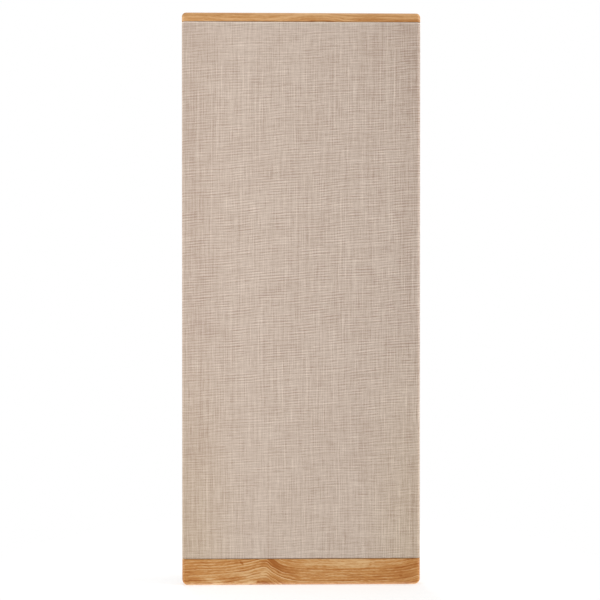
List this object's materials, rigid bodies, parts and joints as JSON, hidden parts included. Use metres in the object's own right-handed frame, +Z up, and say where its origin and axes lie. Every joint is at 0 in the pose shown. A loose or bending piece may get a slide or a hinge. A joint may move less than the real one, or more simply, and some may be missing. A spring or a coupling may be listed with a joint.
{
  "type": "linen memo board",
  "caption": "Tall wall-hung pin board: linen stretched over softboard, between rounded solid oak rails at top and bottom, with swinging hanger rings behind.",
  "frame": {"origin": "middle of the top rail's rear face, on the wall plane", "axes": "+X to the right seen from the front, +Y out of the back towards the wall, +Z up"},
  "size_m": [0.5, 0.026, 1.2],
  "materials": {
    "linen": "matte",
    "oak": "satin",
    "softboard": "matte",
    "plywood": "satin",
    "zinc_steel": "satin",
    "staple_wire": "gloss"
  },
  "bodies": {
    "board": {"linen_cover": "linen", "top_rail": "oak", "bottom_rail": "oak", "pin_core": "softboard", "backing_board": "plywood", "top_rail_screw_1": "zinc_steel", "top_rail_screw_2": "zinc_steel", "top_rail_screw_3": "zinc_steel", "top_rail_screw_4": "zinc_steel", "bottom_rail_screw_1": "zinc_steel", "bottom_rail_screw_2": "zinc_steel", "bottom_rail_screw_3": "zinc_steel", "bottom_rail_screw_4": "zinc_steel", "left_hanger_strap": "zinc_steel", "left_hanger_screw_upper": "zinc_steel", "left_hanger_screw_lower": "zinc_steel", "right_hanger_strap": "zinc_steel", "right_hanger_screw_upper": "zinc_steel", "right_hanger_screw_lower": "zinc_steel", "left_staple_01": "staple_wire", "left_staple_02": "staple_wire", "left_staple_03": "staple_wire", "left_staple_04": "staple_wire", "left_staple_05": "staple_wire", "left_staple_06": "staple_wire", "left_staple_07": "staple_wire", "left_staple_08": "staple_wire", "left_staple_09": "staple_wire", "left_staple_10": "staple_wire", "left_staple_11": "staple_wire", "left_staple_12": "staple_wire", "left_staple_13": "staple_wire", "left_staple_14": "staple_wire", "left_staple_15": "staple_wire", "left_staple_16": "staple_wire", "right_staple_01": "staple_wire", "right_staple_02": "staple_wire", "right_staple_03": "staple_wire", "right_staple_04": "staple_wire", "right_staple_05": "staple_wire", "right_staple_06": "staple_wire", "right_staple_07": "staple_wire", "right_staple_08": "staple_wire", "right_staple_09": "staple_wire", "right_staple_10": "staple_wire", "right_staple_11": "staple_wire", "right_staple_12": "staple_wire", "right_staple_13": "staple_wire", "right_staple_14": "staple_wire", "right_staple_15": "staple_wire", "right_staple_16": "staple_wire"},
    "left_ring": {"left_hanger_ring": "zinc_steel"},
    "right_ring": {"right_hanger_ring": "zinc_steel"}
  },
  "joints": [
    {"name": "left_ring_swing", "type": "hinge", "parent": "board", "child": "left_ring", "pos_m": [-0.17, -0.0036, -0.0905], "axis": [-1, 0, 0], "range_deg": [0, 180]},
    {"name": "right_ring_swing", "type": "hinge", "parent": "board", "child": "right_ring", "pos_m": [0.17, -0.0036, -0.0905], "axis": [-1, 0, 0], "range_deg": [0, 180]}
  ]
}
